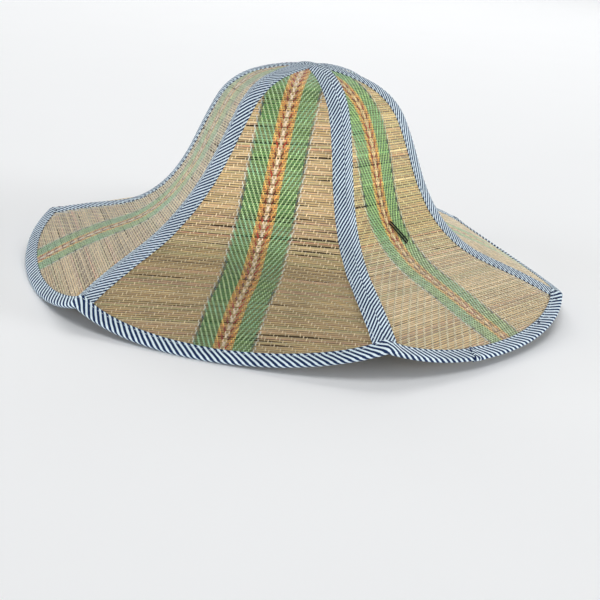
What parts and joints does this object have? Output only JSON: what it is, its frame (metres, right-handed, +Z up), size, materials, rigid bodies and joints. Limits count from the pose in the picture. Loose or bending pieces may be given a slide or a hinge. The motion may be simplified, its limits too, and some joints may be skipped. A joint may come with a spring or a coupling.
{
  "type": "straw sun hat",
  "caption": "Wide folding sun hat of woven straw mat gores with coloured stripes, bound in striped cloth, resting on its brim, open below for the head.",
  "frame": {"origin": "middle of the hat's bounding box, on the surface it rests on", "axes": "+Z up, -Y towards the side that the picture shows as the front, +X to the right in the picture"},
  "size_m": [0.4284, 0.427, 0.1692],
  "materials": {
    "straw_mat": "dry woven straw with dyed cotton warp",
    "striped_cloth": "plain cotton, navy and white stripes",
    "black_elastic": "smooth, slightly glossy"
  },
  "bodies": {
    "root": {"mat_panel_1": "straw_mat", "side_binding_1_left": "striped_cloth", "side_binding_1_right": "striped_cloth", "mat_panel_2": "straw_mat", "side_binding_2_left": "striped_cloth", "side_binding_2_right": "striped_cloth", "mat_panel_3": "straw_mat", "side_binding_3_left": "striped_cloth", "side_binding_3_right": "striped_cloth", "mat_panel_4": "straw_mat", "side_binding_4_left": "striped_cloth", "side_binding_4_right": "striped_cloth", "mat_panel_5": "straw_mat", "side_binding_5_left": "striped_cloth", "side_binding_5_right": "striped_cloth", "mat_panel_6": "straw_mat", "side_binding_6_left": "striped_cloth", "side_binding_6_right": "striped_cloth", "brim_binding": "striped_cloth", "elastic_loop": "black_elastic"}
  },
  "joints": []
}
